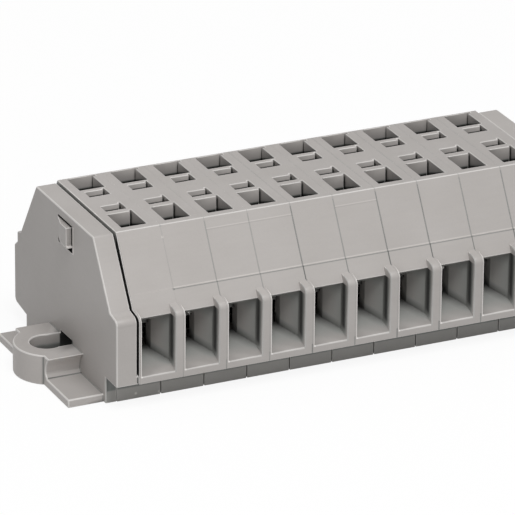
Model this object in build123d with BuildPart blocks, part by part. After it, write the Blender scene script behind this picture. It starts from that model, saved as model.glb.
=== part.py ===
from build123d import *
import os

# Spring clamp terminal strip: a row of one pole housings that snap side by side,
# closed by an end plate with a screw flange at each end.
# X runs along the row, Y from the front wire entries to the back ones, Z up.
# The origin is in the middle of the row, on the surface that the strip stands on.

# Row
pole_count = 10
pitch = 5.0
seam_clearance = 0.04

# Cross section of a housing
top_height = 18.0
top_half_depth = 7.8
slope_foot_height = 10.85
slope_foot_depth = 12.1
side_depth = 13.9
shoulder_height = 10.5
shoulder_round = 0.7
overhang_height = 3.0
foot_depth = 10.85
slope_step_height = 12.1
slope_step = 0.06

# Walls of a housing
thin_wall = 0.25
thick_wall = 0.85
chamber_roof_height = 13.4
chamber_floor_height = 4.4
chamber_depth = 9.0
bridge_half_depth = 2.5

# Wire entries, cut by a shape that stands out of the housing by the overcut
entry_overcut = 1.0
entry_sill_height = 3.8
entry_head_depth = 12.65
funnel_start_depth = 12.15
neck_depth = 10.25
neck_left = 0.95
neck_right = 2.85
neck_bottom_height = 5.15
neck_top_height = 8.6

# Screwdriver pockets and test slots in the top, with their front and back edges
pocket_start = 1.0
pocket_width = 2.85
front_pocket = (-6.85, -3.1)
back_pocket = (4.2, 7.6)
test_start = 1.25
test_width = 2.35
front_test = (-2.2, -0.8)
back_test = (2.1, 3.5)
relief_width = 0.22
relief_depth = 0.35
relief_drop = 4.5

# Foot of a housing, which reaches under its neighbour
foot_offset = 1.25
foot_clearance = 0.08

# Coupling peg on the left side of a housing and its hole in the next part
peg_front = -1.75
peg_back = 1.35
peg_drop = 1.55
peg_height = 2.3
peg_length = 1.2
peg_clearance = 0.1

# Current bar
bar_thickness = 0.8
bar_width = 3.0
bar_start = 0.6
bar_tip_width = 2.0
bar_tip_length = 1.6
bar_end_hold = 0.5
bar_underside_height = 7.9
bar_clearance = 0.05

# Clamp springs, bent from strip, with a window that closes against the bar
strip_thickness = 0.35
strip_width = 3.0
strip_clearance = 0.04
bow_radius = 1.4
bow_centre_depth = 4.4
clamp_leg_gap = 0.7
fixed_leg_gap = 1.1
clamp_leg_bottom = 5.9
clamp_bend_radius = 0.6
clamp_clearance = 0.1
spring_window_width = 2.2

# End plates
plate_thickness = 2.35
plate_gap = 0.25
plate_inset = 0.2
plate_pad_margin = 1.6
plate_ear_height = 1.0
plate_ear_depth = 1.5
plate_crest_round = 0.3
back_step_depth = 13.0
back_step_bottom = 9.35
back_side_height = 8.75
back_underside_outer = 2.1
back_underside_inner = 1.6
window_margin = 0.4
tongue_thickness = 0.9
tongue_front_gap = 0.4
tongue_bottom_gap = 0.6
tongue_top_gap = 0.25
tongue_head_width = 1.5
tongue_head_reach = 0.54
tongue_lip_width = 0.3
tongue_lip_height = 0.2

# Screw flange on an end plate
flange_middle = -0.45
flange_reach = 4.05
lug_height = 3.4
lug_half_depth = 4.65
lug_cove_depth = 0.9
lug_cove_foot = 1.4
lug_cove_toe = 0.45
nose_radius = 4.1
nose_centre = 1.75
sole_thickness = 0.96
sole_front = -10.35
sole_back = 8.7
screw_hole_radius = 1.8
screw_hole_centre = 2.3
screw_slot_width = 3.3
screw_slot_head = 3.6

# Worked out from the sizes above
row_half_length = pole_count * pitch / 2
housing_width = pitch - seam_clearance
slope_run = (slope_foot_depth - top_half_depth) / (top_height - slope_foot_height)
step_depth = slope_foot_depth - slope_run * (slope_step_height - slope_foot_height)
entry_head_height = slope_foot_height - (entry_head_depth - slope_foot_depth) / slope_run
entry_rise = (neck_bottom_height - entry_sill_height) / (side_depth - neck_depth)
entry_right = housing_width - thick_wall
bar_half_length = chamber_depth + bar_end_hold
clamp_leg_depth = chamber_depth - clamp_leg_gap
fixed_leg_end = clamp_leg_depth - fixed_leg_gap
peg_top = top_height - peg_drop
peg_bottom = peg_top - peg_height
bar_middle = bar_start + bar_width / 2
bar_top_height = bar_underside_height + bar_thickness
plate_outer = plate_thickness + plate_gap
plate_side = side_depth - plate_inset / 2
window_front = peg_front - window_margin
window_back = peg_back + window_margin
window_bottom = peg_bottom - window_margin
window_top = peg_top + window_margin
tongue_front = window_front + tongue_front_gap
tongue_bottom = window_bottom + tongue_bottom_gap
tongue_top = window_top - tongue_top_gap


def slot(left, right, front, back):
    """Rectangle in the sketch at hand, given by its four edges."""
    with Locations(((left + right) / 2, (front + back) / 2)):
        Rectangle(right - left, back - front)


def peg_outline(growth):
    """Outline of the coupling peg in the YZ plane, grown all round."""
    slot(peg_front - growth, peg_back + growth, peg_bottom - growth, peg_top + growth)


def wire_entry(side):
    """Room that a wire entry takes from a housing, at the front (side -1) or at the back (side 1).

    Seen from the side, the slope of the top runs on to the head of the opening, and the
    floor rises from the sill to the neck. Seen from above, the walls slant in to the neck."""
    with BuildPart() as entry:
        with BuildSketch(Plane.YZ.offset(thin_wall)):
            with BuildLine():
                Polyline(
                    (side * entry_head_depth, entry_head_height),
                    (side * (slope_foot_depth - slope_run), slope_foot_height + entry_overcut),
                    (side * (side_depth + entry_overcut), slope_foot_height + entry_overcut),
                    (side * (side_depth + entry_overcut), entry_sill_height - entry_rise),
                    (side * neck_depth, neck_bottom_height),
                    (side * chamber_depth, neck_bottom_height),
                    (side * chamber_depth, neck_top_height),
                    (side * neck_depth, neck_top_height),
                    close=True,
                )
            make_face()
        extrude(amount=entry_right - thin_wall)
        with BuildSketch():
            with BuildLine():
                Polyline(
                    (thin_wall, side * funnel_start_depth),
                    (thin_wall, side * (side_depth + entry_overcut)),
                    (entry_right, side * (side_depth + entry_overcut)),
                    (entry_right, side * funnel_start_depth),
                    (neck_right, side * neck_depth),
                    (neck_right, side * chamber_depth),
                    (neck_left, side * chamber_depth),
                    (neck_left, side * neck_depth),
                    close=True,
                )
            make_face()
        extrude(amount=top_height, mode=Mode.INTERSECT)
    return entry.part


# Housing, drawn with its left face at X = 0
with BuildPart() as housing:
    # Body with stepped slopes, shoulders and overhanging sides
    with BuildSketch(Plane.YZ) as section:
        with BuildLine():
            for side in (-1, 1):
                Polyline(
                    (0, top_height),
                    (side * top_half_depth, top_height),
                    (side * (step_depth - slope_step), slope_step_height),
                    (side * step_depth, slope_step_height),
                    (side * slope_foot_depth, slope_foot_height),
                    (side * side_depth, shoulder_height),
                    (side * side_depth, overhang_height),
                    (0, overhang_height),
                )
        make_face()
        by_depth = section.vertices().group_by(Axis.X)
        fillet([by_depth[0].sort_by(Axis.Y)[-1], by_depth[-1].sort_by(Axis.Y)[-1]], shoulder_round)
    extrude(amount=housing_width)

    # Foot, shifted to the left so that it reaches under the neighbour
    with BuildSketch(Plane.XY):
        slot(foot_clearance - foot_offset, housing_width - foot_offset, -foot_depth, foot_depth)
    extrude(amount=overhang_height - foot_clearance)
    with BuildSketch(Plane.XY.offset(overhang_height - foot_clearance)):
        slot(0, housing_width - foot_offset, -foot_depth, foot_depth)
    extrude(amount=foot_clearance)

    # Spring chambers, open to the left, with a bridge between them
    with BuildSketch(Plane.YZ):
        slot(-chamber_depth, -bridge_half_depth, chamber_floor_height, chamber_roof_height)
        slot(bridge_half_depth, chamber_depth, chamber_floor_height, chamber_roof_height)
    extrude(amount=entry_right, mode=Mode.SUBTRACT)

    # Seat of the current bar through the bridge
    with BuildSketch(Plane.YZ):
        slot(-bar_half_length - bar_clearance, bar_half_length + bar_clearance,
             bar_underside_height - bar_clearance, bar_top_height + bar_clearance)
    extrude(amount=bar_start + bar_width + bar_clearance, mode=Mode.SUBTRACT)

    # Wire entries
    for side in (-1, 1):
        add(wire_entry(side), mode=Mode.SUBTRACT)

    # Screwdriver pockets down to the chambers, and test slots down to the bar
    with BuildSketch(Plane.XY.offset(top_height)):
        slot(pocket_start, pocket_start + pocket_width, *front_pocket)
        slot(pocket_start, pocket_start + pocket_width, *back_pocket)
    extrude(amount=chamber_roof_height - top_height, mode=Mode.SUBTRACT)
    with BuildSketch(Plane.XY.offset(top_height)):
        slot(test_start, test_start + test_width, *front_test)
        slot(test_start, test_start + test_width, *back_test)
    extrude(amount=bar_top_height - top_height, mode=Mode.SUBTRACT)

    # Narrow relief at the back right corner of each pocket and slot
    with BuildSketch(Plane.XY.offset(top_height)):
        for right, back in (
            (pocket_start + pocket_width, front_pocket[1]),
            (test_start + test_width, front_test[1]),
            (test_start + test_width, back_test[1]),
        ):
            slot(right - relief_width, right, back, back + relief_depth)
        right = pocket_start + pocket_width
        slot(right, right + relief_depth, back_pocket[1] - relief_width, back_pocket[1])
    extrude(amount=-relief_drop, mode=Mode.SUBTRACT)

    # Hole in the right side for the neighbour's coupling peg, and the peg on the left
    with BuildSketch(Plane.YZ.offset(housing_width)):
        peg_outline(peg_clearance)
    extrude(amount=-peg_length - peg_clearance, mode=Mode.SUBTRACT)
    with BuildSketch(Plane.YZ):
        peg_outline(0)
    extrude(amount=-peg_length)


# Current bar, with tips narrow enough for the windows of the springs
with BuildPart() as current_bar:
    with BuildSketch(Plane.XY.offset(bar_underside_height)):
        slot(bar_start, bar_start + bar_width,
             bar_tip_length - bar_half_length, bar_half_length - bar_tip_length)
        slot(bar_middle - bar_tip_width / 2, bar_middle + bar_tip_width / 2,
             -bar_half_length, bar_half_length)
    extrude(amount=bar_thickness)


def clamp_spring(side):
    """Clamp spring at the front (side -1) or at the back (side 1) of a housing."""
    leg_height = bar_top_height + strip_clearance + strip_thickness / 2
    roof_height = leg_height + 2 * bow_radius
    with BuildPart() as spring:
        with BuildSketch(Plane.YZ.offset(bar_middle - strip_width / 2)):
            with BuildLine() as path:
                Line((side * fixed_leg_end, leg_height), (side * bow_centre_depth, leg_height))
                ThreePointArc(
                    (side * bow_centre_depth, leg_height),
                    (side * (bow_centre_depth - bow_radius), leg_height + bow_radius),
                    (side * bow_centre_depth, roof_height),
                )
                FilletPolyline(
                    (side * bow_centre_depth, roof_height),
                    (side * clamp_leg_depth, roof_height),
                    (side * clamp_leg_depth, clamp_leg_bottom),
                    radius=clamp_bend_radius,
                )
            trace(path.line, line_width=strip_thickness)
        extrude(amount=strip_width)
        # Window that the wire and the tip of the bar pass through
        with BuildSketch(Plane.XZ.offset(-side * clamp_leg_depth)):
            slot(bar_middle - spring_window_width / 2, bar_middle + spring_window_width / 2,
                 bar_underside_height - clamp_clearance, bar_top_height + strip_thickness)
        extrude(amount=strip_thickness, both=True, mode=Mode.SUBTRACT)
    return spring.part


def plate_face():
    """Outline of an end plate, a little smaller than a housing, with a stepped back edge."""
    plate_top = top_height - plate_inset
    crest_depth = top_half_depth - plate_inset
    shoulder_depth = slope_foot_depth - plate_inset / 2
    with BuildSketch() as face:
        with BuildLine():
            Polyline(
                (-crest_depth, plate_top),
                (-shoulder_depth, slope_foot_height),
                (-plate_side, shoulder_height),
                (-plate_side, overhang_height),
                (-foot_depth, overhang_height),
                (-foot_depth, 0),
                (foot_depth - plate_inset, 0),
                (foot_depth - plate_inset, back_underside_inner),
                (plate_side, back_underside_outer),
                (plate_side, back_side_height),
                (back_step_depth, back_step_bottom),
                (back_step_depth, shoulder_height),
                (shoulder_depth, slope_foot_height),
                (crest_depth, plate_top),
                close=True,
            )
        make_face()
        fillet(face.vertices().group_by(Axis.X)[0].sort_by(Axis.Y)[-1], shoulder_round)
        fillet(face.vertices().group_by(Axis.X)[-1].sort_by(Axis.Y)[0], shoulder_round)
        fillet(face.vertices().group_by(Axis.Y)[-1], plate_crest_round)
    return face.sketch


def end_plate(opens):
    """End plate with its screw flange, drawn to the left of a row that starts at X = 0.

    The plate that opens has a window for the first peg, with a snap tongue in it, and room
    for the first foot.
    The other one, which is mirrored to the far end, has a peg and a tongue of its own."""
    face = plate_face()
    reach = plate_outer + flange_reach
    with BuildPart() as plate:
        with BuildSketch(Plane.YZ.offset(-plate_outer)):
            add(face)
        extrude(amount=plate_thickness)

        # Pad that seats against the housing and leaves a groove round its edge
        with BuildSketch(Plane.YZ.offset(-plate_gap)):
            offset(face, amount=-plate_pad_margin)
        extrude(amount=plate_gap)

        # Ears at the bottom corners, where the groove ends
        with BuildSketch(Plane.YZ.offset(-plate_gap)):
            for ear_front in (-plate_side, plate_side - plate_ear_depth):
                slot(ear_front, ear_front + plate_ear_depth,
                     overhang_height, overhang_height + plate_ear_height)
        extrude(amount=plate_gap)

        # Sole and lug of the flange, with a cove under each lip of the lug
        with BuildSketch(Plane.YZ.offset(-reach)):
            with BuildLine():
                for side, sole_edge in ((-1, sole_front), (1, sole_back)):
                    lip = flange_middle + side * lug_half_depth
                    cove = lip - side * lug_cove_depth
                    Line((flange_middle, lug_height), (lip, lug_height))
                    ThreePointArc(
                        (lip, lug_height),
                        (cove + side * lug_cove_depth / 6, (lug_height + lug_cove_foot) / 2),
                        (cove, lug_cove_foot),
                    )
                    Polyline(
                        (cove, lug_cove_foot),
                        (cove + side * lug_cove_toe, sole_thickness),
                        (sole_edge, sole_thickness),
                        (sole_edge, 0),
                        (flange_middle, 0),
                    )
            make_face()
        extrude(amount=flange_reach)

        # Rounded nose in front of the lug
        with BuildSketch(Plane.XY):
            with Locations((-plate_outer - nose_centre, flange_middle)):
                Circle(nose_radius)
            with Locations((-reach + nose_radius, flange_middle)):
                Rectangle(2 * nose_radius, 2 * nose_radius, mode=Mode.SUBTRACT)
        extrude(amount=lug_height)

        # Screw slot, which starts at a round hole and runs in under the plate
        with BuildSketch(Plane.XY):
            with Locations((-plate_outer - screw_hole_centre, flange_middle)):
                Circle(screw_hole_radius)
            slot(-plate_outer - screw_hole_centre, -foot_offset,
                 flange_middle - screw_slot_width / 2, flange_middle + screw_slot_width / 2)
        extrude(amount=screw_slot_head, mode=Mode.SUBTRACT)

        if opens:
            # Window in front of the first peg
            with BuildSketch(Plane.YZ):
                slot(window_front, window_back, window_bottom, window_top)
            extrude(amount=-plate_outer, mode=Mode.SUBTRACT)

            # Snap tongue in the window: a raised head that slopes down to its root at the back
            with BuildSketch(Plane.XY.offset(tongue_bottom)):
                with BuildLine():
                    Polyline(
                        (-plate_outer - tongue_head_reach, tongue_front),
                        (-plate_outer - tongue_head_reach, tongue_front + tongue_head_width),
                        (-plate_outer, window_back),
                        (tongue_thickness - plate_outer, window_back),
                        (tongue_thickness - plate_outer, tongue_front),
                        close=True,
                    )
                make_face()
            extrude(amount=tongue_top - tongue_bottom)

            # Lip along the front of the tongue
            with BuildSketch(Plane.XY.offset(tongue_bottom)):
                slot(-plate_outer - tongue_head_reach, tongue_thickness - plate_outer,
                     tongue_front - tongue_lip_width, tongue_front)
            extrude(amount=tongue_lip_height)

            # Room for the first foot
            with BuildSketch(Plane.XY):
                slot(-foot_offset, 0, -foot_depth, foot_depth + foot_clearance)
            extrude(amount=overhang_height, mode=Mode.SUBTRACT)
        else:
            # Peg and tongue that reach into and under the last housing
            with BuildSketch(Plane.YZ.offset(-plate_gap)):
                peg_outline(0)
            extrude(amount=plate_gap + peg_length)
            with BuildSketch(Plane.XY):
                slot(-plate_gap, foot_offset - foot_clearance, -foot_depth, foot_depth)
            extrude(amount=overhang_height - foot_clearance)
    return plate.part


def save(shape, name):
    """Label a finished piece and write it to its own file."""
    shape.label = name
    export_step(shape, f"parts/{name}.step")


os.makedirs("parts", exist_ok=True)
near_end_plate = end_plate(opens=True)
save(near_end_plate.moved(Location((-row_half_length, 0, 0))), "near_end_plate")
far_end_plate = mirror(end_plate(opens=False), about=Plane.YZ)
save(far_end_plate.moved(Location((row_half_length, 0, 0))), "far_end_plate")
front_spring = clamp_spring(-1)
back_spring = clamp_spring(1)
for pole in range(pole_count):
    place = Location((-row_half_length + pole * pitch + seam_clearance / 2, 0, 0))
    number = f"{pole + 1:02d}"
    save(housing.part.moved(place), f"housing_{number}")
    save(current_bar.part.moved(place), f"current_bar_{number}")
    save(front_spring.moved(place), f"clamp_spring_front_{number}")
    save(back_spring.moved(place), f"clamp_spring_back_{number}")
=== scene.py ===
import math

import bmesh
import bpy
from mathutils import Matrix, Vector


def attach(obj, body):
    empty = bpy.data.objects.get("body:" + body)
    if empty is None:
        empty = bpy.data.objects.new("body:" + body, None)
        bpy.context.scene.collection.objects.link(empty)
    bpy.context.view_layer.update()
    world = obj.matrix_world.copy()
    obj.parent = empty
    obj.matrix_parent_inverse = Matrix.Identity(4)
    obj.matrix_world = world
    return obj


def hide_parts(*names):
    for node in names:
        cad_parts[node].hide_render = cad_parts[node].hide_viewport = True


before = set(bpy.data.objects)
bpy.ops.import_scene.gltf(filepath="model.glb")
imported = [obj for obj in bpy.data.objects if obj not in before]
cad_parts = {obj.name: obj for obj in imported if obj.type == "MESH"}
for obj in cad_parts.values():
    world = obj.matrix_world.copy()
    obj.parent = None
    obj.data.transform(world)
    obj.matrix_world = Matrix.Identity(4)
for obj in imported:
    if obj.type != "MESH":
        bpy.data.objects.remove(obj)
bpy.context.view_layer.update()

bpy.ops.object.select_all(action="DESELECT")

# Sizes in millimetres, as in the part's source; MM turns them into metres.
# Depths count from the middle of the row, below 0 in front, and heights from the foot up.
MM = 0.001

# Row of housings
POLES = 10
PITCH = 5.0
ROW_END = POLES * PITCH / 2
ROW_START = -ROW_END
SEAM = 0.04

# Cross section of a housing
TOP_HEIGHT = 18.0
TOP_HALF_DEPTH = 7.8
SIDE_DEPTH = 13.9
SHOULDER_START = 9.8
OVERHANG_HEIGHT = 3.0
FOOT_OFFSET = 1.25
CHAMBER_TOP = 13.4
CHAMBER_DEPTH = 9.0

# Wire entry, measured from the left side of its pole
ENTRY_RIGHT = 4.11
ENTRY_SILL = 3.8
ENTRY_RISE = 0.37
ENTRY_HEAD = 9.9
ENTRY_HEAD_DEPTH = 12.65
FUNNEL_START = 12.15
NECK_DEPTH = 10.25
NECK_RIGHT = 2.85

# Openings in the top: front and back edges, left and right edges, and their usual lengths
FRONT_POCKET = (-6.85, -3.1)
FRONT_TEST = (-2.2, -0.8)
BACK_TEST = (2.1, 3.5)
BACK_POCKET = (4.2, 7.6)
TOP_OPENINGS = (FRONT_POCKET, FRONT_TEST, BACK_TEST, BACK_POCKET)
POCKET_LEFT, POCKET_RIGHT = 1.0, 3.85
TEST_LEFT, TEST_RIGHT = 1.25, 3.6
POCKET_LENGTH = 3.6
TEST_LENGTH = 1.4
RELIEF_REACH = 0.4

# Lines on the slopes; the scribed one is on three housings, counted from 0
STEP_HEIGHT = 12.1
SCRIBED_HEIGHT = 16.9
SCRIBED_POLES = (2, 3, 5)

# End plate, whose reach is measured outwards from the end of the row
PLATE_GAP = 0.25
PLATE_OUTER = 2.6
WINDOW_DEPTHS = (-2.17, 1.77)
WINDOW_HEIGHTS = (13.73, 16.87)
TONGUE_HALF_DEPTH = 2.2
TONGUE_BOTTOM = 13.5
TONGUE_ROOT_DEPTH = 0.9
TONGUE_ROOT_TOP = 16.0
LIP_DEPTHS = (-2.1, -1.72)
LIP_HEIGHTS = (14.3, 14.6)
HEAD_DEPTHS = (-1.8, 0.5)
HEAD_FOOT_HEIGHTS = (14.3, 14.47)

# Screw flange of an end plate, with its creases measured to either side of its middle
LUG_HEIGHT = 3.4
FLANGE_MIDDLE = -0.45
FLANGE_REACH = 6.65
HOLE_RADIUS = 1.8
HOLE_END = 6.72
SLOT_HALF_WIDTH = 1.7
NOSE_CREASE = 3.4
COVE_END = 4.15
SOLE_TOP = 0.96

# Widths of the rounded edges, and the angle in degrees from which an edge is rounded
RIB_ROUND = 0.14
ENTRY_ROUND = 0.1
TOP_ROUND = 0.09
BACK_TOP_ROUND = 0.04
PLAIN_ROUND = 0.05
SEAM_ROUND = 0.02
GROOVE_ROUND = 0.07
PLATE_ROUND = 0.15
TONGUE_ROUND = 0.06
SHARP_ANGLE = 24

# How far the first housing's left side and foot come out, into the groove beside the plate
FIRST_SIDE_OUT = 0.05
FIRST_FOOT_OUT = 0.095

# Corners this close are merged, and places this close count as the same
SAME_CORNER = 0.002
CLOSE = 0.01

# How far a marking reaches to either side of its face
MARGIN = 0.02

# Greys of the mouldings: two shades that mix in clouds, pale ones that paint a highlight on the
# rounded edges, and a cool one for the painted shade in the recesses
GREYS = ((0.448, 0.421, 0.4, 1), (0.462, 0.438, 0.422, 1))
HIGHLIGHT_GREYS = ((0.6, 0.58, 0.56, 1), (0.63, 0.61, 0.59, 1))
COOL_GREY = (0.41, 0.43, 0.41, 1)

# How dark each seam is, from the near plate on: the tighter it snapped, the paler
SEAM_DARKNESS = (0.0, 0.05, 0.35, 0.3, 0.7, 0.45, 0.7, 0.7, 0.5, 0.6, 0.0)

# Loss of brightness in the grooves, where hardly any light comes
GROOVE_DARKNESS = 0.9

# Heights between which the shade under the overhang fades
OVERHANG_SHADE = (1.3, 1.5)

# Painted highlights in small spots on the housings, and small darker spots: place, radius and strength
HIGHLIGHT_SPOTS = (
    ((-20.02, -8.5, 16.85), 0.16, 1.0),
    ((-24.11, -10.85, 0.59), 0.22, 1.3),
    ((-21.43, -10.85, 0.32), 0.22, 1.3),
)
DARK_SPOTS = (
    ((-20.0, -11.36, 12.05), 0.2, 1.0),
    ((-20.0, -7.85, 17.95), 0.22, 1.0),
)


# Camera, at the photograph's angle

def aim_camera():
    """Long lens camera in front of the near end, looking down on the row."""
    azimuth, elevation, roll = (math.radians(angle) for angle in (25.122, 23.158, 0.519))
    target = Vector((-4.409, 1.278, 8.0)) * MM
    distance = 613.734 * MM
    ahead = Vector((
        math.sin(azimuth) * math.cos(elevation),
        math.cos(azimuth) * math.cos(elevation),
        -math.sin(elevation),
    ))
    right = Vector((math.cos(azimuth), -math.sin(azimuth), 0))
    up = right.cross(ahead)
    across = right * math.cos(roll) + up * math.sin(roll)
    upright = up * math.cos(roll) - right * math.sin(roll)
    data = bpy.data.cameras.new("camera")
    data.lens = 397.43
    data.sensor_width = 36
    data.clip_start = 0.05
    data.clip_end = 20
    camera = bpy.data.objects.new("camera", data)
    turn = Matrix((across, upright, -ahead)).transposed()
    camera.matrix_world = Matrix.Translation(target - ahead * distance) @ turn.to_4x4()
    bpy.context.collection.objects.link(camera)
    bpy.context.scene.camera = camera


# Shader maths

class Signal:
    """A socket that varies over the surface. Arithmetic on it adds Math nodes."""

    def __init__(self, finish, socket):
        self.finish = finish
        self.socket = socket

    def beside(self, name):
        """Another output of the same node."""
        return Signal(self.finish, self.socket.node.outputs[name])

    def maths(self, operation, *parts):
        return self.finish.node("ShaderNodeMath", {"operation": operation}, dict(enumerate(parts)))

    def __add__(self, other):
        return self.maths("ADD", self, other)

    def __radd__(self, other):
        return self.maths("ADD", other, self)

    def __sub__(self, other):
        return self.maths("SUBTRACT", self, other)

    def __rsub__(self, other):
        return self.maths("SUBTRACT", other, self)

    def __mul__(self, other):
        return self.maths("MULTIPLY", self, other)

    def __rmul__(self, other):
        return self.maths("MULTIPLY", other, self)

    def __truediv__(self, other):
        return self.maths("DIVIDE", self, other)

    def __abs__(self):
        return self.maths("ABSOLUTE", self)

    def whole(self):
        return self.maths("FLOOR", self)

    def over(self, limit):
        """1 where the value is more than the limit, otherwise 0."""
        return self.maths("GREATER_THAN", self, limit)

    def under(self, limit):
        return self.maths("LESS_THAN", self, limit)

    def between(self, low, high):
        return self.over(low) * self.under(high)

    def at(self, face):
        """1 on the flat face that lies at this value."""
        return self.between(face - MARGIN, face + MARGIN)

    def rise(self, start, end):
        """0 up to the start, 1 from the end on, and even in between."""
        return ((self - start) / (end - start)).clamped()

    def band(self, middle, half_width):
        """1 at the middle, falling evenly to 0 at half a width to either side."""
        return (1 - abs(self - middle) / half_width).clamped()

    def clamped(self):
        return self.finish.node("ShaderNodeClamp", {}, {"Value": self})


class Finish:
    """The nodes of a material or of the world, added one by one."""

    def __init__(self, owner):
        owner.use_nodes = True
        self.owner = owner
        self.tree = owner.node_tree
        self.tree.nodes.clear()

    def node(self, kind, settings, inputs, output=0):
        """Add a node: its settings first, then the values or links of its sockets."""
        made = self.tree.nodes.new(kind)
        for key, value in settings.items():
            setattr(made, key, value)
        for key, value in inputs.items():
            if isinstance(value, Signal):
                self.tree.links.new(value.socket, made.inputs[key])
            else:
                made.inputs[key].default_value = value
        return Signal(self, made.outputs[output]) if made.outputs else None

    def vector_maths(self, operation, inputs, output=0):
        return self.node("ShaderNodeVectorMath", {"operation": operation}, inputs, output)

    def place(self):
        """Object coordinates in millimetres."""
        spot = self.node("ShaderNodeTexCoord", {}, {}, "Object")
        return self.vector_maths("SCALE", {0: spot, "Scale": 1 / MM})

    def split(self, vector):
        """Distance along the row, depth and height."""
        along = self.node("ShaderNodeSeparateXYZ", {}, {0: vector})
        return along, along.beside("Y"), along.beside("Z")

    def near(self, vector, point, radius):
        """1 at the point, falling evenly to 0 at the radius."""
        away = self.vector_maths("DISTANCE", {0: vector, 1: point}, "Value")
        return (1 - away / radius).clamped()

    def noise(self, vector, scale, detail=2.0, roughness=0.5):
        """Noise round 0, from about -0.5 to 0.5."""
        raw = self.node("ShaderNodeTexNoise", {}, {
            "Vector": vector, "Scale": scale, "Detail": detail, "Roughness": roughness})
        return raw - 0.5

    def stretched(self, vector, factors):
        return self.vector_maths("MULTIPLY", {0: vector, 1: factors})

    def shade(self, colour, brightness):
        """The colour, made lighter or darker all over by the brightness."""
        return self.vector_maths("SCALE", {0: colour, "Scale": brightness})

    def mix(self, factor, first, second):
        """One colour where the factor is 0 and the other where it is 1.

        The node's colour sockets go by number, because its other kinds share their names."""
        return self.node("ShaderNodeMix", {"data_type": "RGBA"}, {0: factor, 6: first, 7: second}, 2)

    def bump(self, height, strength, distance):
        return self.node("ShaderNodeBump", {}, {
            "Height": height, "Strength": strength, "Distance": distance})

    def surface(self, inputs):
        """Close the material with a shader that has these inputs."""
        shader = self.node("ShaderNodeBsdfPrincipled", {}, inputs)
        self.node("ShaderNodeOutputMaterial", {}, {"Surface": shader})
        return self.owner


# Moulded plastic

def moulded_plastic(name, greys, lift, light_and_seams_of):
    """Grey satin polyamide: faint cloudy patches, flow streaks, fine eroded grain.

    The last argument takes the finish and the place in millimetres, and gives a further brightness
    of painted light and shade and dark seams. Where that is low the grey is cooler, as painted shade in
    the recesses."""
    finish = Finish(bpy.data.materials.new(name))
    spot = finish.place()
    clouds = finish.noise(spot, 0.16, 2)
    streaks = finish.noise(finish.stretched(spot, (0.35, 0.35, 2.6)), 1.1, 3)
    grain = finish.noise(spot, 5.5, 3, 0.65)
    specks = finish.noise(spot, 2.3, 1)
    # Painted light and shade, and the dark seams, over the surface
    light_and_seams = light_and_seams_of(finish, spot)
    brightness = lift * (1 + clouds * 0.09 + streaks * 0.05 + grain * 0.07) * light_and_seams
    along, _, height = finish.split(spot)
    in_foot = abs(along).under(ROW_END + PLATE_OUTER - MARGIN) * height.under(OVERHANG_HEIGHT)
    # The grey turns cool in the painted shade, and on the foot under the overhang
    in_shade = (1 - light_and_seams).rise(0.2, 0.35) * 0.65 + in_foot * 0.35
    cloudy_grey = finish.mix(0.5 + clouds, *greys)
    grey = finish.mix(in_shade.clamped(), cloudy_grey, COOL_GREY)
    relief = grain * 0.7 + specks * 0.3
    return finish.surface({
        "Base Color": finish.shade(grey, brightness),
        "Roughness": 0.47 + grain * 0.16 + specks * 0.08,
        "Normal": finish.bump(relief, 0.28, 0.05 * MM),
        "Specular IOR Level": 0.42,
    })


def place_in_row(along):
    """How many poles along the row a point lies, and how far from its pole's left side."""
    row = (along - ROW_START) / PITCH
    return row, (row - row.whole()) * PITCH


def entry_shade(depth, height, across):
    """Painted shade in a wire entry: the floor darkens inwards, the walls and the funnel are darker."""
    inside = depth.between(CHAMBER_DEPTH, SIDE_DEPTH - 0.05) * height.between(ENTRY_SILL, ENTRY_HEAD)
    from_mouth = SIDE_DEPTH - depth
    above_floor = height - ENTRY_SILL - from_mouth * ENTRY_RISE
    on_wall = above_floor.rise(0, 0.9)

    # Floor, with painted shade deepening inwards and a painted soft shadow along the slanted wall of the
    # funnel
    slant = (ENTRY_RIGHT - NECK_RIGHT) / (FUNNEL_START - NECK_DEPTH)
    wall_place = NECK_RIGHT + (depth - NECK_DEPTH) * slant
    by_wall = (wall_place - across).rise(1.3, 0) * from_mouth.rise(0.7, 2.1)
    floor_loss = 0.08 + from_mouth.rise(-0.4, 3.4) * 0.38 + by_wall * 0.3

    # Painted shade on the right wall in front of the funnel, then on the funnel and the head over it
    right_wall = across.over(ENTRY_RIGHT - MARGIN)
    by_funnel = depth.rise(FUNNEL_START, FUNNEL_START + 0.55)
    wall_shade = (0.48 + by_funnel * 0.42) * from_mouth.rise(0.1, 0.9)
    in_funnel = depth.under(FUNNEL_START + MARGIN)
    by_head = height.rise(ENTRY_HEAD - 1.6, ENTRY_HEAD - 0.2)
    funnel_shade = 0.35 - (FUNNEL_START - depth).rise(0, 1.2) * 0.15 + by_head * 0.2
    wall_loss = right_wall * wall_shade + (1 - right_wall) * in_funnel * funnel_shade
    return 1 - inside * (floor_loss + on_wall * (wall_loss - floor_loss))


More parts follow.
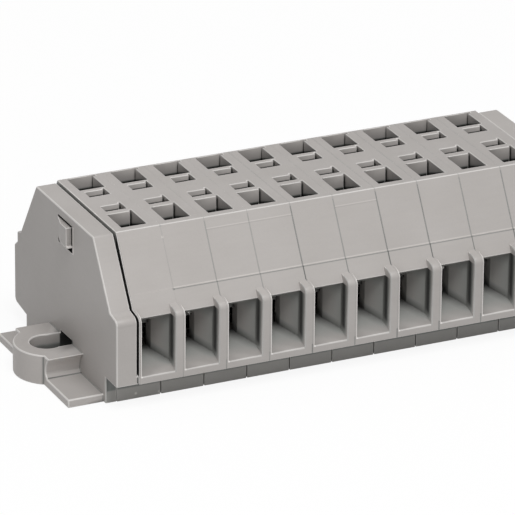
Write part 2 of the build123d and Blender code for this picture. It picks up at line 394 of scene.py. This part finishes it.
def pocket_shade(row_depth, height, across):
    """Walls of the pockets and test slots: a painted highlight at the rim, painted shade out of reach of
    the light.
    """
    inside = abs(row_depth).under(TOP_HALF_DEPTH - 0.1) * height.between(CHAMBER_TOP, TOP_HEIGHT - MARGIN)
    inside = inside * across.between(POCKET_LEFT - 0.5, POCKET_RIGHT + 0.5)
    pocket = 1 - row_depth.between(FRONT_TEST[0] - 0.2, BACK_POCKET[0] - 0.2)
    front_edge = FRONT_POCKET[0]
    for before, after in zip(TOP_OPENINGS, TOP_OPENINGS[1:]):
        front_edge = front_edge + row_depth.over(before[1] + RELIEF_REACH) * (after[0] - before[0])

    # The light comes in over the front edge and leaves what is steeply below it dark
    drop = TOP_HEIGHT - height
    from_front = row_depth - front_edge
    opening = TEST_LENGTH + pocket * (POCKET_LENGTH - TEST_LENGTH)
    steepness = drop / (from_front + 0.05 + from_front.under(0.03) * opening)
    out_of_light = steepness.rise(0.36, 0.42)
    wall = (1.4 - pocket * drop.rise(0, 1.9) * 0.7) * (1 - out_of_light * 0.94)

    # Painted shade on the right wall and in the narrow reliefs in the back corners
    from_right = TEST_RIGHT + pocket * (POCKET_RIGHT - TEST_RIGHT) - across
    wall = wall * (1 - from_right.under(MARGIN) * (0.5 - from_front / opening * 0.35))
    behind = sum(row_depth.between(back + 0.03, back + RELIEF_REACH) for _, back in TOP_OPENINGS[:-1])
    in_back_pocket = row_depth.over(BACK_POCKET[0])
    relief = behind * from_right.under(0.1) + in_back_pocket * from_right.under(-0.05)
    wall = wall * (1 - relief.clamped() * drop.rise(0.1, 0.5) * 0.75)
    return 1 + inside * (wall - 1)


def row_marks(row, across, depth, height):
    """Dark seams between housings, each as tight as it snapped; painted highlights and shadows on the
    lines on the slopes; painted shade on the foot.
    """
    nearest = (row + 0.5).whole()
    on_slope = depth.over(TOP_HALF_DEPTH + 0.2)
    darkness = sum(nearest.band(seam, 0.5) * dark for seam, dark in enumerate(SEAM_DARKNESS))
    from_seam = abs(row - nearest) * PITCH
    above_entry = height.over(ENTRY_HEAD + 0.9)
    below_entry = height.between(OVERHANG_HEIGHT, ENTRY_SILL + 0.3)
    seam = from_seam.rise(0.09, 0.03) * darkness * (above_entry + below_entry) * (0.35 + on_slope * 0.65)

    # Painted highlight on the edge of the step, with a painted shadow under it, which the first housing
    # hardly has
    pole = row.whole()
    past_first = pole.over(0.5)
    step_line = height.band(STEP_HEIGHT + 0.06, 0.09) * (0.06 + past_first * 0.28)
    step_shadow = height.band(STEP_HEIGHT - 0.06, 0.08) * past_first * 0.45
    # Painted highlight on the edge of the scribed line, and painted shade under it
    scribed = sum(pole.between(number - 0.5, number + 0.5) for number in SCRIBED_POLES)
    line_edge = height.band(SCRIBED_HEIGHT + 0.03, 0.07) * 0.22
    line_bottom = height.band(SCRIBED_HEIGHT - 0.08, 0.06) * 0.14
    lines = on_slope * (step_line - step_shadow + (line_edge - line_bottom) * scribed)

    # The row is a little darker towards its far end and on its top, and more so on its foot, which has
    # painted shade that deepens near the overhang
    dimming = row * 0.008 + height.over(TOP_HEIGHT - MARGIN) * 0.03
    in_overhang_shade = height.rise(*OVERHANG_SHADE)
    foot = height.under(OVERHANG_HEIGHT) * (0.04 + row * 0.012 + in_overhang_shade * 0.45)
    return (1 - seam) * (1 + lines) * (1 - dimming - foot)


def housing_light_and_seams(finish, spot):
    """Brightness over a row of housings: painted shade in the grooves, entries and pockets, dark seams,
    painted highlights and shadows on the lines, and painted highlights and dark spots.
    """
    along, row_depth, height = finish.split(spot)
    row, across = place_in_row(along)
    depth = abs(row_depth)
    # Painted highlights in small spots, and small darker spots
    highlight_spots, dark_spots = (
        sum(finish.near(spot, point, radius) * strength for point, radius, strength in spots)
        for spots in (HIGHLIGHT_SPOTS, DARK_SPOTS)
    )
    # Painted shade in the groove beside the end plate
    beside_plate = abs(along).between(ROW_END - SEAM, ROW_END + 0.1)
    in_groove = beside_plate * height.between(OVERHANG_HEIGHT, TOP_HEIGHT - 0.1)
    groove_loss = GROOVE_DARKNESS - depth.under(TOP_HALF_DEPTH) * 0.55
    return (
        (1 - in_groove * groove_loss)
        * (1 + highlight_spots * 0.6 - dark_spots * 0.45)
        * entry_shade(depth, height, across)
        * pocket_shade(row_depth, height, across)
        * row_marks(row, across, depth, height)
    )


def edge_highlight(finish, spot):
    """Brightness of the rounded edges, whose pale plastic paints a highlight, except on the left of the
    ribs.
    """
    along, row_depth, height = finish.split(spot)
    _, across = place_in_row(along)
    depth = abs(row_depth)
    beside_entry = depth.over(ENTRY_HEAD_DEPTH) * height.over(OVERHANG_HEIGHT + 0.5)
    on_rib = beside_entry * along.between(ROW_START, ROW_END)
    rib_left = on_rib * across.between(ENTRY_RIGHT - 0.03, ENTRY_RIGHT + 0.2)
    rim_right = on_rib * across.between(0.03, 0.4)
    by_seam = (across.under(0.03) + across.over(PITCH - 0.03)).clamped()
    at_seam = by_seam * along.between(ROW_START + 1, ROW_END - 1)

    # Rims of the openings in the top: a painted highlight in front, darker at the sides
    rim = height.over(TOP_HEIGHT - 0.2) * depth.under(TOP_HALF_DEPTH - 0.1)
    near_rim = rim * sum(row_depth.between(front - 0.12, front + MARGIN) for front, _ in TOP_OPENINGS)
    left_side = across.between(POCKET_LEFT - 0.15, TEST_LEFT + MARGIN)
    right_side = across.between(TEST_RIGHT - 0.05, POCKET_RIGHT + 0.4)
    side_rim = rim * (left_side + right_side) * (1 - near_rim)
    # Painted highlights on the front rims of the ribs and of the openings
    pale = rim_right * 0.4 + rim * 0.1 + near_rim * 0.3
    return 1 - rib_left * 0.25 - at_seam * 0.28 - side_rim * 0.25 + pale


def window_shade_and_highlights(along, row_depth, height, out):
    """Painted shade inside the near plate's window, and painted highlights on its rim and tongue."""
    beside_window = along.under(0) * height.between(*WINDOW_HEIGHTS)
    in_window = beside_window * out.under(PLATE_OUTER - 0.06) * row_depth.between(*WINDOW_DEPTHS)
    clear_of_root = (row_depth.under(TONGUE_ROOT_DEPTH) + height.over(TONGUE_ROOT_TOP)).clamped()
    rim = beside_window * out.at(PLATE_OUTER) * row_depth.band(WINDOW_DEPTHS[0] - 0.14, 0.34)
    lip = out.over(PLATE_OUTER - 0.2) * row_depth.between(*LIP_DEPTHS) * height.between(*LIP_HEIGHTS)
    proud = out.over(PLATE_OUTER + MARGIN)
    head_foot = proud * row_depth.between(*HEAD_DEPTHS) * height.between(*HEAD_FOOT_HEIGHTS)
    return in_window * clear_of_root, rim * 0.6 + (lip + head_foot).clamped() * 0.55


def hole_loss(from_middle, height, out):
    """Painted shade down the wall of the screw hole."""
    in_hole = out.between(PLATE_OUTER + 0.05, HOLE_END) * from_middle.under(HOLE_RADIUS + MARGIN)
    drop = LUG_HEIGHT - height
    loss = 0.15 + drop.rise(0.3, 2.6) * 0.5 + drop.rise(1.05, 1.35) * 0.3
    return in_hole * drop.over(0.05) * loss


def flange_loss(from_middle, height, out):
    """Painted shade on the flange: on its flat tops, and in the creases where its forms meet."""
    proud = out.over(PLATE_OUTER + MARGIN)
    lug_top = proud * height.at(LUG_HEIGHT)
    sole_top = proud * height.at(SOLE_TOP) * from_middle.over(COVE_END)

    # A cove gets a painted highlight against the flats beside it, but painted shade at its foot
    in_cove = out.under(FLANGE_REACH - MARGIN) * height.between(SOLE_TOP + MARGIN, LUG_HEIGHT - 0.03)
    at_foot = height.under(SOLE_TOP + 0.13)
    to_foot = height.rise(LUG_HEIGHT - 1.2, SOLE_TOP + 0.3)
    cove = proud * in_cove * (at_foot * 0.45 + to_foot * 0.35 - 0.2)
    nose_crease = out.over(FLANGE_REACH - 0.05) * from_middle.band(NOSE_CREASE, 0.16)
    plate_crease = proud * out.under(PLATE_OUTER + 0.14) * height.under(LUG_HEIGHT + 0.1)
    return lug_top * 0.09 + sole_top * 0.13 + cove + nose_crease * 0.5 + plate_crease * 0.3


def plate_painted_light(finish, spot):
    """Brightness over an end plate: painted shade in the groove and window, on the outer face, foot and
    flange, and painted highlights.
    """
    along, row_depth, height = finish.split(spot)
    out = abs(along) - ROW_END
    from_middle = abs(row_depth - FLANGE_MIDDLE)
    # Painted shade inside the window, and painted highlights on its rim and tongue
    window, pale = window_shade_and_highlights(along, row_depth, height, out)
    in_groove = out.under(PLATE_GAP + MARGIN) * height.over(OVERHANG_HEIGHT)
    in_slot = from_middle.under(SLOT_HALF_WIDTH) * height.under(LUG_HEIGHT + 0.1)
    under_plate = out.under(PLATE_OUTER + 0.05) * in_slot
    # Painted shade in the groove, the window and the slot under the plate
    dark = (in_groove + window + under_plate).clamped() * GROOVE_DARKNESS
    # Painted shade on the outer face and the shoulders, and on the foot under the overhang
    on_face = out.at(PLATE_OUTER) + out.over(PLATE_OUTER + MARGIN) * height.over(LUG_HEIGHT + 1)
    outer_face = on_face * (0.11 + row_depth.rise(-5, 12) * 0.07)
    shoulders = out.between(0.3, PLATE_OUTER - 0.05) * height.over(SHOULDER_START) * 0.04
    in_overhang_shade = height.rise(*OVERHANG_SHADE)
    on_foot = out.under(PLATE_OUTER - MARGIN) * height.under(OVERHANG_HEIGHT)
    foot = on_foot * (0.17 + in_overhang_shade * 0.4)
    losses = outer_face + shoulders + foot + flange_loss(from_middle, height, out)
    return (1 - dark) * (1 - hole_loss(from_middle, height, out)) * (1 - losses + pale)


# Metal

def strip_metal(name, tint, roughness, grain_along, shaded_beyond):
    """Rolled strip metal with fine rolling marks along the strip.

    Beyond the given depth from the middle of the row it has painted shade, with a few specks left bright
    as painted glints."""
    finish = Finish(bpy.data.materials.new(name))
    spot = finish.place()
    marks = finish.noise(finish.stretched(spot, grain_along), 3.0, 3)
    patches = finish.noise(spot, 0.6, 2)
    # Specks left bright as painted glints in the painted shade
    specks = finish.noise(spot, 2.6, 1).over(0.14)
    _, row_depth, _ = finish.split(spot)
    # Painted shade beyond the given depth from the middle of the row
    dimming = abs(row_depth).rise(shaded_beyond, shaded_beyond + 0.2) * (1 - specks)
    brightness = (1 + marks * 0.18 + patches * 0.1) * (1 - dimming * 0.85)
    return finish.surface({
        "Base Color": finish.shade(tint, brightness),
        "Metallic": 1.0,
        "Roughness": roughness + marks * 0.15 + patches * 0.1,
        "Normal": finish.bump(marks, 0.25, 0.03 * MM),
    })


def dress_metal():
    """Bars and springs, whose bends are round in the solids, only get their finish."""
    finishes = {
        "current_bar": strip_metal(
            "tinned_bar", (0.74, 0.73, 0.70), 0.32, (4.0, 0.4, 4.0), CHAMBER_DEPTH - 0.3),
        "clamp_spring": strip_metal(
            "spring_strip", (0.62, 0.61, 0.60), 0.26, (4.0, 0.5, 0.5), CHAMBER_DEPTH - 1.0),
    }
    for name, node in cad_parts.items():
        for kind, finish in finishes.items():
            if name.startswith(kind):
                node.data.materials.clear()
                node.data.materials.append(finish)


# Rounded copies of the moulded pieces

def weighed_copy(name, width_of, widest, flat_below):
    """Copy a CAD node and weigh its convex edges by the widths to round them to.

    width_of gives an edge's width in millimetres from its two ends. The triangles of
    each flat face below the given height are joined first."""
    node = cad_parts[name]
    piece = node.copy()
    piece.data = node.data.copy()
    piece.name = f"moulded_{name}"
    piece.data.name = piece.name
    bpy.context.collection.objects.link(piece)
    mesh = bmesh.new()
    mesh.from_mesh(piece.data)
    bmesh.ops.remove_doubles(mesh, verts=mesh.verts, dist=SAME_CORNER * MM)
    low_edges = [edge for edge in mesh.edges if min(end.co.z for end in edge.verts) < flat_below * MM]
    bmesh.ops.dissolve_limit(mesh, angle_limit=math.radians(0.5), verts=[], edges=low_edges)
    weights = mesh.edges.layers.float.new("bevel_weight_edge")
    for edge in mesh.edges:
        if len(edge.link_faces) == 2 and edge.calc_face_angle(0) > math.radians(SHARP_ANGLE):
            start, end = (corner.co / MM for corner in edge.verts)
            edge[weights] = width_of(start, end) / widest if edge.is_convex else 0
            edge.smooth = edge[weights] > 0
    mesh.to_mesh(piece.data)
    mesh.free()
    return piece


def round_edges(piece, widest, plastic, highlight_plastic):
    """Round the weighed edges, give them the paler plastic that paints a highlight, and keep the flat
    faces flat.
    """
    piece.data.materials.clear()
    piece.data.materials.append(plastic)
    piece.data.materials.append(highlight_plastic)
    bpy.ops.object.select_all(action="DESELECT")
    piece.select_set(True)
    bpy.context.view_layer.objects.active = piece
    bevel = piece.modifiers.new("bevel", "BEVEL")
    bevel.limit_method = "WEIGHT"
    bevel.width = widest * MM
    bevel.segments = 2
    bevel.use_clamp_overlap = False
    bevel.loop_slide = False
    bevel.miter_outer = "MITER_ARC"
    # The rounded faces take the pale plastic, which paints a highlight on the edges
    bevel.material = 1
    bpy.ops.object.modifier_apply(modifier=bevel.name)
    bpy.ops.object.shade_smooth()
    normals = piece.modifiers.new("normals", "WEIGHTED_NORMAL")
    normals.keep_sharp = True
    normals.weight = 100
    bpy.ops.object.modifier_apply(modifier=normals.name)
    bpy.ops.object.select_all(action="DESELECT")


def stand_in(piece, node):
    """Let the piece take the node's place on the part."""
    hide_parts(node)
    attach(piece, "root")


def housing_edge(start, end):
    """Width to round a housing's edge to: fine at the seams, none inside, soft on the ribs."""
    left = ROW_START + SEAM / 2
    xs = [(corner.x - left) % PITCH for corner in (start, end)]
    inner, outer = sorted((abs(start.y), abs(end.y)))
    low, high = sorted((start.z, end.z))
    over_foot = low > OVERHANG_HEIGHT + 0.1
    if outer < ENTRY_HEAD_DEPTH - MARGIN and high < CHAMBER_TOP + MARGIN and over_foot:
        return 0.0
    on_seam = any(max(abs(x - side) for x in xs) < CLOSE for side in (0, PITCH - SEAM))
    if on_seam and low > OVERHANG_HEIGHT - CLOSE:
        return SEAM_ROUND
    if inner > ENTRY_HEAD_DEPTH - 0.6 and over_foot:
        on_rib = max(abs(x - ENTRY_RIGHT) for x in xs) < CLOSE
        return RIB_ROUND if on_rib else ENTRY_ROUND
    if low > TOP_HEIGHT - CLOSE:
        at_back = min(start.y, end.y) > BACK_POCKET[1] - 0.1
        return BACK_TOP_ROUND if at_back else TOP_ROUND
    return PLAIN_ROUND


def first_housing_edge(start, end):
    """The first housing also shows its left side's edges, in the groove beside the end plate."""
    on_left = max(start.x, end.x) < ROW_START + SEAM
    if on_left and min(start.z, end.z) > OVERHANG_HEIGHT - CLOSE:
        return GROOVE_ROUND
    return housing_edge(start, end)


def plate_edge(start, end):
    """Width to round an end plate's edge to: fine on the tongue and where the slot goes in."""
    on_tongue = abs(start.y) < TONGUE_HALF_DEPTH and start.z > TONGUE_BOTTOM and start.x < 0
    in_slot = abs((start.y + end.y) / 2 - FLANGE_MIDDLE) < HOLE_RADIUS
    at_plate = max(abs(start.x), abs(end.x)) - ROW_END < PLATE_OUTER + 0.5
    under_plate = in_slot and at_plate and min(start.z, end.z) < LUG_HEIGHT
    return TONGUE_ROUND if on_tongue or under_plate else PLATE_ROUND


def moulded_housing(number, width_of, plastic, highlight_plastic):
    """Rounded copy of a housing, with its sides moved out until neighbours meet at the seam.

    The first housing's left side and foot come out further."""
    piece = weighed_copy(f"housing_{number:02d}", width_of, RIB_ROUND, TOP_HEIGHT - CLOSE)
    is_first = number == 1
    left = ROW_START + SEAM / 2 + (number - 1) * PITCH
    right = left + PITCH - SEAM
    for corner in piece.data.vertices:
        x, height = corner.co.x / MM, corner.co.z / MM
        if abs(x - left) < CLOSE:
            corner.co.x -= (SEAM / 2 + (FIRST_SIDE_OUT if is_first else 0)) * MM
        elif abs(x - right) < CLOSE:
            corner.co.x += SEAM / 2 * MM
        elif is_first and abs(x - left + FOOT_OFFSET) < 0.1 and height < OVERHANG_HEIGHT:
            corner.co.x -= FIRST_FOOT_OUT * MM
    round_edges(piece, RIB_ROUND, plastic, highlight_plastic)
    return piece


def dress_housings(plastic, highlight_plastic):
    """Round the first two housings, then copy the second along the row."""
    pieces = [
        moulded_housing(1, first_housing_edge, plastic, highlight_plastic),
        moulded_housing(2, housing_edge, plastic, highlight_plastic),
    ]
    for number in range(3, POLES + 1):
        piece = pieces[1].copy()
        piece.data = pieces[1].data.copy()
        piece.name = f"moulded_housing_{number:02d}"
        piece.data.name = piece.name
        piece.data.transform(Matrix.Translation(((number - 2) * PITCH * MM, 0, 0)))
        bpy.context.collection.objects.link(piece)
        pieces.append(piece)
    for piece in pieces:
        stand_in(piece, piece.name.removeprefix("moulded_"))


def dress_end_plates(plastic, highlight_plastic):
    """Round both end plates, whose outlines and flanges mirror each other."""
    for name in ("near_end_plate", "far_end_plate"):
        piece = weighed_copy(name, plate_edge, PLATE_ROUND, TOP_HEIGHT)
        round_edges(piece, PLATE_ROUND, plastic, highlight_plastic)
        stand_in(piece, name)


# Studio

def lay_floor():
    """White floor that keeps a soft shadow.

    It glows where the lens or a reflection sees it, and lights the part as plain paper."""
    bpy.ops.mesh.primitive_plane_add(size=6, location=(0, 0, 0))
    floor = bpy.context.active_object
    floor.name = "floor"
    finish = Finish(bpy.data.materials.new("floor_paper"))
    seen = finish.node("ShaderNodeLightPath", {}, {}, "Is Camera Ray")
    mirrored = seen.beside("Is Glossy Ray") + seen.beside("Is Transmission Ray")
    tone = finish.mix(seen, (0.63, 0.63, 0.63, 1), (0.95, 0.95, 0.95, 1))
    paper = finish.node("ShaderNodeBsdfDiffuse", {}, {"Color": tone})
    glow = finish.node("ShaderNodeEmission", {}, {"Color": (1, 1, 1, 1), "Strength": 1.0})
    share = (seen + mirrored).clamped() * 0.9
    both = finish.node("ShaderNodeMixShader", {}, {0: share, 1: paper, 2: glow})
    finish.node("ShaderNodeOutputMaterial", {}, {"Surface": both})
    floor.data.materials.append(finish.owner)


def light_surroundings():
    """White all round where the lens sees it, and weaker as light on the part."""
    world = Finish(bpy.data.worlds.new("studio"))
    bpy.context.scene.world = world.owner
    seen = world.node("ShaderNodeLightPath", {}, {}, "Is Camera Ray")
    direct = (seen + seen.beside("Is Transmission Ray")).clamped()
    ambient = 0.46
    sky = world.node("ShaderNodeBackground", {}, {
        "Color": (1, 1, 1, 1), "Strength": ambient + direct * (1 - ambient)})
    world.node("ShaderNodeOutputWorld", {}, {"Surface": sky})


def hang_lamps():
    """One broad key lamp over the front and a weak fill on the left, both aimed at the part."""
    distance = 0.9
    for name, direction, size, power in (
        ("key_lamp", (-0.06, -0.45, 0.89), 0.45, 5.0),
        ("left_fill", (-0.9, -0.5, 0.6), 0.6, 0.3),
    ):
        data = bpy.data.lights.new(name, "AREA")
        data.shape = "DISK"
        data.size = size
        data.energy = power
        lamp = bpy.data.objects.new(name, data)
        away = Vector(direction).normalized()
        lamp.location = away * distance
        lamp.rotation_mode = "QUATERNION"
        lamp.rotation_quaternion = away.to_track_quat("Z", "Y")
        bpy.context.collection.objects.link(lamp)


aim_camera()
lay_floor()
light_surroundings()
hang_lamps()
# Plastics carrying painted light and shade, and dark seams, over the housings and end plates
housing_plastic = moulded_plastic("satin_polyamide", GREYS, 1.0, housing_light_and_seams)
plate_plastic = moulded_plastic("satin_polyamide_plate", GREYS, 0.99, plate_painted_light)
# Pale plastic for the rounded edges, which paints a highlight on them
highlight_plastic = moulded_plastic("highlight_edge", HIGHLIGHT_GREYS, 1.0, edge_highlight)
dress_housings(housing_plastic, highlight_plastic)
dress_end_plates(plate_plastic, highlight_plastic)
dress_metal()

bpy.context.scene.view_settings.view_transform = "Standard"
